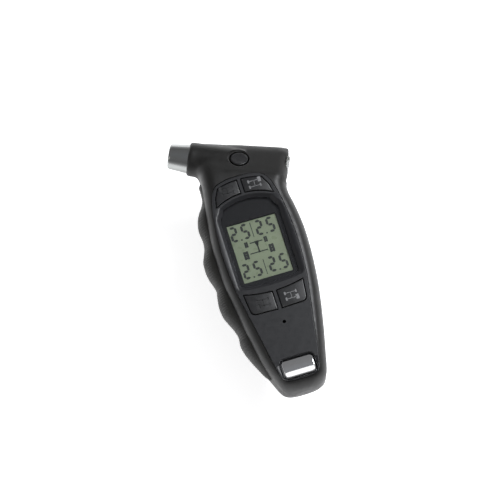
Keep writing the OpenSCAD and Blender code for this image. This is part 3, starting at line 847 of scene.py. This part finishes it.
def cap(name, outline):
    """Key cap with rounded edges and a slightly crowned top."""
    obj = relax(remesh(plate(name, [outline], FLANGE_Z, CAP_TOP, 0.22), 0.17), 2)
    low, high = np.array(outline).min(0), np.array(outline).max(0)
    p = get_vertices(obj.data) / MM
    r = np.linalg.norm((p[:, :2] - (low + high) / 2) / ((high - low) / 2), axis=1).clip(0, 1.2)
    p[:, 2] -= KEY_CROWN * r**2 * step(p[:, 2], CAP_TOP - 2, CAP_TOP - 0.4)
    set_vertices(obj.data, p * MM)
    return obj


# Middle of each key's mark, and the wheel it picks out
MARKS = {
    "front_left": ((-7.8, 34.9), (-1, 1)),
    "front_right": ((7.6, 34.9), (1, 1)),
    "rear_left": ((-7.6, -30.2), (-1, -1)),
    "rear_right": ((7.8, -30.2), (1, -1)),
}


def wheel_mark(centre, corner):
    """Shapes of a car from above, with the wheel at one corner drawn larger."""
    cx, cy = centre
    shapes = [
        rounded_rect(cx, cy, 0.5, 3.4, 0.2, 2),
        rounded_rect(cx, cy + 1.6, 5.2, 0.5, 0.2, 2),
        rounded_rect(cx, cy - 1.6, 5.2, 0.5, 0.2, 2),
    ]
    for sx in (-1, 1):
        for sy in (-1, 1):
            big = (sx, sy) == corner
            w, h = (1.9, 2.9) if big else (1.0, 1.9)
            shapes.append(rounded_rect(cx + sx * 3.0, cy + sy * 1.6, w, h, 0.3, 3))
    return shapes


key_caps, key_marks = {}, {}
for key, key_outline in KEYS.items():
    obj = cap(f"{key}_cap", key_outline(0))
    obj = with_foot(obj, circle(*STEM_POS[key], STEM_R), key_outline(FLANGE_GROW))
    shapes = wheel_mark(*MARKS[key])
    for shape in shapes:
        obj = cut(obj, prism("mark_cut", shape, CAP_TOP - MARK_DEPTH, CAP_TOP + 1))
    key_caps[key] = obj
    inlay = [shrink(shape, 0.03) for shape in shapes]
    key_marks[key] = flat_shapes(f"{key}_mark", inlay, CAP_TOP - MARK_DEPTH - 0.01, 0.1)


def divided(outline, n, m):
    """Rounded rectangle with m more points on each straight side after its n+1 point corners."""
    out = []
    for i, point in enumerate(outline):
        out.append(point)
        if i % (n + 1) == n:
            end = outline[(i + 1) % len(outline)]
            for k in range(1, m + 1):
                t = k / (m + 1)
                out.append((point[0] + t * (end[0] - point[0]), point[1] + t * (end[1] - point[1])))
    return out


def chrome_cap():
    """Part of a cylinder along X, rounded off at its rim."""
    w, h = CHROME
    rings = []

    def ring(inset, r, drop):
        points = divided(rounded_rect(0, CHROME_Y, w - 2 * inset, h - 2 * inset, r, 8), 8, 12)
        top = [math.sqrt(CHROME_DOME_R**2 - (y - CHROME_Y) ** 2) - CHROME_DOME_R for _, y in points]
        return [(x, y, CAP_TOP + z - drop) for (x, y), z in zip(points, top)]

    rings.append([(x, y, FLANGE_Z) for x, y, _ in ring(0, 2, 0)])
    edge = 0.75
    for i in range(9):
        a = math.radians(90 * i / 8)
        inset = edge * (1 - math.cos(a))
        rings.append(ring(inset, 2 - inset, edge * (1 - math.sin(a))))
    for inset, r in ((1.2, 1.0), (2.0, 0.8), (3.0, 0.6), (4.0, 0.4), (4.9, 0.05)):
        rings.append(ring(inset, r, 0))
    obj = loft("chrome_shell", rings)
    flange = rounded_rect(0, CHROME_Y, w + 2 * FLANGE_GROW, h + 2 * FLANGE_GROW, 2.6)
    return with_foot(obj, circle(0, CHROME_Y, STEM_R), flange)


chrome_key = chrome_cap()


def on_slope(outline, level):
    """Outline laid on the slope of the head, at a level over the power button's middle."""
    return [(x, y, POWER_Z + level - power_drop(x, y)) for x, y in outline]


def power_cap():
    """Disc that slopes with the head, with a shallow dish in it."""
    rings = [at(power_outline(0), PLUNGER_TOP)]
    for inset, level in (
        (0, -1.0), (0.06, -0.55), (0.22, -0.15), (0.45, 0.1), (0.75, 0.2),
        (1.2, 0.2), (1.9, 0.12), (2.8, 0.05), (3.7, 0.02),
    ):
        rings.append(on_slope(power_outline(-inset), level))
    obj = loft("power_cap", rings)
    for shape in power_symbol():
        sign = [power_point(u, v) for u, v in shape]
        obj = cut(obj, loft("sign", [on_slope(sign, level) for level in (-0.02, 3.0)]))
    return obj


def power_symbol():
    """Generic power sign: an open ring and a bar."""
    ring = arc((0, 0), (1.75, 1.6), 125, 415, 28) + arc((0, 0), (1.3, 1.17), 415, 125, 28)
    return [ring, [(-0.22, 0.5), (0.22, 0.5), (0.22, 2.1), (-0.22, 2.1)]]


power_key = power_cap()

# ---------- grip ----------


def finger_grip():
    """Rubber strip with ribs that are deepest on its four bumps and fade out at its ends."""
    rings = []
    low_end, high_end = GRIP[0][0], GRIP[-1][0]
    angles = np.radians(np.linspace(90, -90, 49))
    for y, x_out, half in smooth_stations(GRIP, 0.28):
        bump = max(math.exp(-(((y - b) / GRIP_BUMP_W) ** 2)) for b in GRIP_BUMPS)
        ridge = 0.5 + 0.5 * math.cos(2 * math.pi * y / RIB_PITCH)
        fade = max(min(1.0, (y - low_end) / RIB_FADE, (high_end - y) / RIB_FADE), 0)
        ring = []
        for a in angles:
            flank = float(step(math.cos(a), 0.42, 0.72))
            groove = RIB_DEPTH * flank * fade * (0.3 + 0.7 * bump) * (1 - ridge)
            reach = GRIP_DEPTH * max(math.cos(a), 0) ** 0.6 - groove
            ring.append((x_out + GRIP_DEPTH - max(reach, 0), y, GRIP_Z + half * math.sin(a)))
        rings.append(ring)
    return cut(loft("grip", rings), grip_cutter)


grip = finger_grip()

# ---------- nozzle and torch ----------

nozzle_profile = [
    (6.7, -8), (6.7, -1.52), (NOZZLE_R - 0.1, -1.5), (NOZZLE_R, -1.4), (NOZZLE_R, 0.2),
    (NOZZLE_TIP_R + 0.14, NOZZLE_LEN - 1.25), (NOZZLE_TIP_R, NOZZLE_LEN - 0.75),
    (NOZZLE_TIP_R - 0.2, NOZZLE_LEN - 0.3), (NOZZLE_TIP_R - 0.55, NOZZLE_LEN - 0.06),
    (NOZZLE_TIP_R - 0.9, NOZZLE_LEN), (BORE_R + 0.55, NOZZLE_LEN), (BORE_R + 0.25, NOZZLE_LEN - 0.1),
    (BORE_R, NOZZLE_LEN - 0.4), (BORE_R, SEAT), (BORE_R + 0.6, SEAT), (BORE_R + 0.6, SEAT - 3),
    (3.2, SEAT - 3), (3.2, -8),
]
nozzle = move(ring_solid("nozzle", nozzle_profile, 128), NOZZLE_FRAME)

torch_outline = rounded_rect(0, 0, TORCH_SEAT[0], TORCH_SEAT[1] - 0.2, 4, 10)
torch_glass = move(plate("torch_glass", [torch_outline], -0.3, 1.4, 0.35), TORCH_FRAME)


def torch_leds():
    """Three LEDs in a row, from the torch board to domes behind the lens."""
    base, shoulder, r, pitch = 45.4, TORCH_S - 1.6, 1.5, 3.6
    profile = [(0.01, -base), (r + 0.2, -base), (r + 0.2, -base - 0.8), (r, -base - 0.8), (r, -shoulder)]
    profile += [(r * math.cos(a), -shoulder - r * math.sin(a)) for a in np.radians(range(10, 90, 10))]
    profile.append((0.01, -shoulder - r))
    row = None
    for i in (-1, 0, 1):
        led = move(revolve("led", profile, 32), NOZZLE_FRAME @ Matrix.Translation((0, pitch * i, 0)))
        row = join(row, led) if row else led
    return row


led_row = torch_leds()


# ---------- battery door ----------


def battery_door():
    """Door with a finger grip of short grooves and hooks along its hinge edge."""
    obj = plate("door", [smooth_corners(door_outline(-0.02), 0.8)], 0.0, DOOR_TOP_Z, 0.22)
    for i in range(5):
        y = DOOR_END_Y + 5 + 1.7 * i
        w = 4.5 - 0.5 * i
        slot_cut = plate("door_rib", [rounded_rect(0, y, 2 * w, 0.8, 0.38, 4)], -0.6, 0.45, 0.15)
        obj = cut(obj, slot_cut)
    for x in ((-13, -10), (10, 13)):
        obj = join(obj, block("hook", x, (DOOR_HINGE_Y - 2, DOOR_HINGE_Y), (1.8, 2.9)))
        obj = join(obj, block("hook", x, (DOOR_HINGE_Y - 0.1, DOOR_HINGE_Y + 1.8), (2.0, 2.9)))
    return obj


def smooth_corners(outline, r):
    """Outline with each corner cut to a short arc."""
    p = [Vector(q) for q in outline]
    out = []
    for i, q in enumerate(p):
        a, b = p[i - 1] - q, p[(i + 1) % len(p)] - q
        reach = min(r, a.length / 2.2, b.length / 2.2)
        a, b = q + a.normalized() * reach, q + b.normalized() * reach
        for t in (0, 0.25, 0.5, 0.75, 1):
            out.append(tuple((1 - t) ** 2 * a + 2 * t * (1 - t) * q + t**2 * b))
    return out


door = battery_door()

# ---------- materials ----------


class Nodes:
    """A new material and short ways to add nodes to it."""

    def __init__(self, name):
        self.material = bpy.data.materials.new(name)
        self.material.use_nodes = True
        self.tree = self.material.node_tree
        self.shader = self.tree.nodes["Principled BSDF"]

    def add(self, kind, **values):
        node = self.tree.nodes.new(kind)
        for key, value in values.items():
            if key in node.inputs:
                node.inputs[key].default_value = value
            else:
                setattr(node, key, value)
        return node

    def link(self, source, target):
        self.tree.links.new(source, target)

    def noise(self, size, detail=2.0):
        """Noise in object coordinates with grains of a size in millimetres."""
        place = self.add("ShaderNodeTexCoord")
        noise = self.add("ShaderNodeTexNoise", Scale=1 / (size * MM), Detail=detail)
        self.link(place.outputs["Object"], noise.inputs["Vector"])
        return noise.outputs["Fac"]

    def spread(self, source, low, high):
        """Stretches the middle of a noise's range over low to high."""
        node = self.add("ShaderNodeMapRange")
        node.inputs["From Min"].default_value = 0.3
        node.inputs["From Max"].default_value = 0.7
        node.inputs["To Min"].default_value = low
        node.inputs["To Max"].default_value = high
        self.link(source, node.inputs["Value"])
        return node.outputs["Result"]

    def blend(self, source, a, b):
        """Colour a where the source is 0, b where it is 1."""
        node = self.add("ShaderNodeMix", data_type="RGBA")
        colours = [socket for socket in node.inputs if socket.type == "RGBA"]
        colours[0].default_value, colours[1].default_value = (*a, 1), (*b, 1)
        self.link(source, node.inputs["Factor"])
        return node.outputs[2]


def satin(name, colour, rough, grain=0.35, bump=0.012, mottle=0.12, spread=0.05, **sockets):
    """Moulded surface: fine grain in its relief, faint clouds in colour and gloss."""
    n = Nodes(name)
    clouds = n.spread(n.noise(9.0, 3.0), 0, 1)
    dark, light = ([c * (1 + s * mottle) for c in colour] for s in (-1, 1))
    n.link(n.blend(clouds, dark, light), n.shader.inputs["Base Color"])
    n.link(n.spread(n.noise(2.5, 4.0), rough - spread, rough + spread), n.shader.inputs["Roughness"])
    if bump:
        relief = n.add("ShaderNodeBump", Strength=1.0, Distance=bump * MM)
        n.link(n.noise(grain, 3.0), relief.inputs["Height"])
        n.link(relief.outputs["Normal"], n.shader.inputs["Normal"])
    for key, value in sockets.items():
        n.shader.inputs[key.replace("_", " ")].default_value = value
    return n.material


def metal(name, colour, rough, size):
    """Bare metal with faint clouds of a size in its colour, gloss and relief."""
    n = Nodes(name)
    n.shader.inputs["Metallic"].default_value = 1.0
    wave = n.noise(size, 3.0)
    dark = [c * 0.94 for c in colour]
    n.link(n.blend(wave, dark, colour), n.shader.inputs["Base Color"])
    n.link(n.spread(wave, rough * 0.8, rough * 1.25), n.shader.inputs["Roughness"])
    relief = n.add("ShaderNodeBump", Strength=1.0, Distance=0.002 * MM)
    n.link(wave, relief.inputs["Height"])
    n.link(relief.outputs["Normal"], n.shader.inputs["Normal"])
    return n.material


def clear_film(name, tint, mirror_ior):
    """Clear plastic seen as its reflection, with everything behind it shown."""
    n = Nodes(name)
    n.link(n.blend(n.noise(6.0), [c * 0.97 for c in tint], tint), n.shader.inputs["Base Color"])
    n.shader.inputs["Metallic"].default_value = 1.0
    n.shader.inputs["Roughness"].default_value = 0.0
    fresnel = n.add("ShaderNodeFresnel", IOR=mirror_ior)
    n.link(fresnel.outputs["Fac"], n.shader.inputs["Alpha"])
    return n.material


def banded(name, axis, stops, rough, metallic):
    """Bands of colour along an axis, at places in millimetres."""
    n = Nodes(name)
    place = n.add("ShaderNodeTexCoord")
    split = n.add("ShaderNodeSeparateXYZ")
    n.link(place.outputs["Object"], split.inputs["Vector"])
    span = n.add("ShaderNodeMapRange")
    low, high = stops[0][0], stops[-1][0]
    span.inputs["From Min"].default_value = low * MM
    span.inputs["From Max"].default_value = high * MM
    n.link(split.outputs[axis], span.inputs["Value"])
    ramp = n.add("ShaderNodeValToRGB")
    ramp.color_ramp.interpolation = "CONSTANT"
    elements = ramp.color_ramp.elements
    for i, (place_mm, colour) in enumerate(stops[:-1]):
        e = elements[i] if i < 2 else elements.new(1.0)
        e.position = (place_mm - low) / (high - low)
        e.color = (*colour, 1)
    n.link(span.outputs["Result"], ramp.inputs["Fac"])
    n.link(ramp.outputs["Color"], n.shader.inputs["Base Color"])
    n.link(n.spread(n.noise(1.5), rough * 0.85, rough * 1.15), n.shader.inputs["Roughness"])
    n.shader.inputs["Metallic"].default_value = metallic
    return n.material


LOOKS = {
    "shell": satin("shell", (0.0085, 0.0083, 0.0077), 0.42, Specular_IOR_Level=0.4),
    "panel": satin("panel", (0.0095, 0.0098, 0.0115), 0.38, mottle=0.08, Specular_IOR_Level=0.42),
    "grip": satin("grip", (0.0105, 0.0102, 0.0082), 0.5, grain=0.25, bump=0.02),
    "key": satin("key", (0.0085, 0.0086, 0.0095), 0.36, mottle=0.06),
    "chrome": metal("chrome", (0.80, 0.805, 0.815), 0.085, size=2.5),
    "dark_chrome": metal("dark_chrome", (0.42, 0.43, 0.425), 0.10, size=2.5),
    "window": clear_film("window", (0.88, 0.91, 0.96), 1.5),
    "torch_window": satin("torch_window", (0.095, 0.10, 0.09), 0.25, bump=0.0, spread=0.04, Alpha=0.75),
    "mask": satin(
        "mask", (0.003, 0.003, 0.0036), 0.34, bump=0.0, mottle=0.05, spread=0.02, Specular_IOR_Level=0.15,
    ),
    "lcd": satin("lcd", (0.27, 0.32, 0.205), 0.3, grain=0.12, bump=0.001, mottle=0.05),
    "lcd_ink": satin("lcd_ink", (0.012, 0.017, 0.012), 0.35, bump=0.0, mottle=0.05),
    "diffuser": satin("diffuser", (0.78, 0.8, 0.76), 0.5),
    "seal": satin("seal", (0.012, 0.012, 0.012), 0.6),
    "board": satin("board", (0.012, 0.085, 0.030), 0.3, grain=0.6, bump=0.006, mottle=0.25),
    "component": satin("component", (0.014, 0.014, 0.015), 0.4),
    "steel": metal("steel", (0.56, 0.56, 0.57), 0.25, size=0.5),
    "brass": metal("brass", (0.60, 0.42, 0.13), 0.24, size=0.5),
    "hose": satin("hose", (0.52, 0.48, 0.38), 0.42, Subsurface_Weight=0.2),
    # The LEDs are unlit: their faint glow is a painted highlight standing in for glints on the domes.
    "led": satin(
        "led", (0.9, 0.9, 0.86), 0.15, bump=0.0, Coat_Weight=0.6,
        Emission_Color=(1, 1, 0.95, 1), Emission_Strength=0.6,
    ),
    "cell": banded(
        "cell", "Y",
        [(-70, (0.6, 0.6, 0.6)), (-67.3, (0.03, 0.035, 0.05)), (-36, (0.5, 0.16, 0.03)),
         (-25.2, (0.6, 0.6, 0.6)), (-22, (0.6, 0.6, 0.6))],
        0.28, 0.5,
    ),
    "actuator": satin("actuator", (0.09, 0.018, 0.013), 0.4),
    "dark_mark": satin("dark_mark", (0.0035, 0.0035, 0.004), 0.5, bump=0.0),
    # The right keys' marks are light grey as a painted highlight: the same legends as on the left keys,
    # drawn as if catching light.
    "painted_highlight_mark": satin("painted_highlight_mark", (0.20, 0.20, 0.205), 0.4, bump=0.0),
}
# CAD nodes by the look they wear where no visual piece replaces them
NODE_LOOKS = {
    "shell": ["rear_cover", "front_cover", "battery_door"],
    "panel": ["face_panel"],
    "grip": ["finger_grip"],
    "key": ["power_button", *(f"{key}_button" for key in KEYS)],
    "chrome": ["nozzle_sleeve", "torch_button"],
    "window": ["display_lens"],
    "torch_window": ["torch_lens"],
    "mask": ["lcd_frame"],
    "lcd": ["lcd_glass"],
    "diffuser": ["lcd_backlight"],
    "seal": ["zebra_strips", "nozzle_seal", "nozzle_o_ring"],
    "board": ["main_board", "torch_board"],
    "component": ["controller_chip", "tact_switches", "buzzer", "pressure_sensor"],
    "steel": [
        "board_screws", "hose_clips", "valve_pin", "battery_springs", "battery_bridge", "housing_screws",
    ],
    "brass": ["nozzle_core", "nozzle_nut"],
    "hose": ["air_hose"],
    "led": ["torch_leds"],
    "cell": ["battery_left", "battery_right"],
    "actuator": [n for n in NODES if n.endswith("_plunger")],
}


def dress(obj, look):
    obj.data.materials.clear()
    obj.data.materials.append(LOOKS[look])
    return obj


for look, members in NODE_LOOKS.items():
    for member in members:
        dress(NODES[member], look)


def place(obj, name, look, body, *nodes, slot=None, angle=35.0):
    """Names a finished piece, gives it its finish and its body, and hides what it stands for."""
    obj.name = name
    soften(obj, angle)
    dress(obj, look)
    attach(obj, body)
    if nodes:
        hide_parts(*nodes)
    return obj


place(front, "shell_front", "shell", "gauge", "front_cover")
place(rear, "shell_rear", "shell", "gauge", "rear_cover")
place(panel, "face_plate", "panel", "gauge", "face_panel", angle=40)
place(lens, "window_lens", "window", "gauge", "display_lens")
place(mask, "display_surround", "mask", "gauge", "lcd_frame")
place(lcd, "lcd_cell", "lcd", "gauge", "lcd_glass")
place(lcd_ink, "lcd_segments", "lcd_ink", "gauge", slot="lcd")
place(grip, "grip_rubber", "grip", "gauge", "finger_grip", angle=60)
place(nozzle, "nozzle_shell", "dark_chrome", "gauge", "nozzle_sleeve", slot="chrome", angle=30)
place(torch_glass, "torch_glass", "torch_window", "gauge", "torch_lens")
place(led_row, "torch_led_row", "led", "gauge", "torch_leds")
place(door, "battery_lid", "shell", "battery_cover", "battery_door")
for key in KEYS:
    place(key_caps[key], f"{key}_cap", "key", f"{key}_key", f"{key}_button", angle=40)
    # Left keys' marks stay dark; right keys' marks wear a painted highlight.
    mark = "dark_mark" if key.endswith("left") else "painted_highlight_mark"
    place(key_marks[key], f"{key}_mark", mark, f"{key}_key", slot="key")
place(chrome_key, "torch_cap", "chrome", "torch_key", "torch_button", angle=40)
place(power_key, "power_cap", "key", "power_key", "power_button", angle=40)
bpy.data.objects.remove(outer)

# ---------- floor, light and camera ----------

FLOOR_Z = -34.0


def floor():
    obj = plate("floor", [rounded_rect(0, 0, 6000, 6000, 100, 4)], FLOOR_Z - 10, FLOOR_Z, 1)
    n = Nodes("floor")
    n.link(n.blend(n.noise(300.0), (0.90, 0.90, 0.90), (0.93, 0.93, 0.93)), n.shader.inputs["Base Color"])
    n.shader.inputs["Roughness"].default_value = 0.9
    n.shader.inputs["Specular IOR Level"].default_value = 0.0
    n.shader.inputs["Emission Color"].default_value = (1, 1, 1, 1)
    n.shader.inputs["Emission Strength"].default_value = 0.72
    obj.data.materials.clear()
    obj.data.materials.append(n.material)


def softbox(name, azimuth, elevation, distance, size, watts, colour=(1, 1, 1)):
    """Area light aimed at the middle of the gauge, placed by azimuth from +X, in degrees and metres."""
    a, e = math.radians(azimuth), math.radians(elevation)
    direction = Vector((math.cos(a) * math.cos(e), math.sin(a) * math.cos(e), math.sin(e)))
    light = bpy.data.lights.new(name, "AREA")
    light.shape = "RECTANGLE"
    light.size, light.size_y = size
    light.energy = watts
    light.color = colour
    obj = bpy.data.objects.new(name, light)
    obj.location = direction * distance
    obj.rotation_euler = direction.to_track_quat("Z", "Y").to_euler()
    bpy.context.scene.collection.objects.link(obj)


def studio():
    """Room that is light along the horizon and greyer overhead."""
    world = bpy.data.worlds.new("studio")
    bpy.context.scene.world = world
    world.use_nodes = True
    tree = world.node_tree
    place_node = tree.nodes.new("ShaderNodeTexCoord")
    split = tree.nodes.new("ShaderNodeSeparateXYZ")
    ramp = tree.nodes.new("ShaderNodeValToRGB")
    tree.links.new(place_node.outputs["Generated"], split.inputs["Vector"])
    tree.links.new(split.outputs["Z"], ramp.inputs["Fac"])
    tree.links.new(ramp.outputs["Color"], tree.nodes["Background"].inputs["Color"])
    elements = ramp.color_ramp.elements
    elements[0].position, elements[0].color = 0.0, (0.95, 0.95, 0.95, 1)
    elements[1].position, elements[1].color = 1.0, (0.24, 0.245, 0.255, 1)
    for position, grey in ((0.05, 0.9), (0.2, 0.4), (0.5, 0.2), (0.85, 0.22)):
        e = elements.new(position)
        e.color = (grey, grey, grey * 1.02, 1)


def camera():
    """Camera at the photograph's angle: azimuth from -Y, elevation and roll in degrees."""
    a, e, roll = math.radians(-17.54), math.radians(72.0), math.radians(0.53)
    back = Vector((math.sin(a) * math.cos(e), -math.cos(a) * math.cos(e), math.sin(e)))
    right = Vector((math.cos(a), math.sin(a), 0))
    up = back.cross(right)
    side = right * math.cos(roll) + up * math.sin(roll)
    rise = up * math.cos(roll) - right * math.sin(roll)
    target = Vector((0, 0, 20)) - 5.366 * side + 0.406 * rise
    data = bpy.data.cameras.new("camera")
    data.lens = 167.2
    data.sensor_width = 36.0
    data.clip_start, data.clip_end = 0.05, 20
    obj = bpy.data.objects.new("camera", data)
    matrix = Matrix((side, rise, back)).transposed().to_4x4()
    matrix.translation = (target + 1233.8 * back) * MM
    obj.matrix_world = matrix
    bpy.context.scene.collection.objects.link(obj)
    bpy.context.scene.camera = obj


floor()
studio()
softbox("key", 18, 55, 1.1, (0.45, 0.45), 10.5, (0.95, 0.97, 1.0))
softbox("front", -78, 68, 0.9, (0.5, 0.38), 0.7)
softbox("fill", 190, 40, 1.0, (0.3, 0.5), 0.35, (1.0, 0.98, 0.93))
camera()
bpy.context.scene.view_settings.view_transform = "Standard"
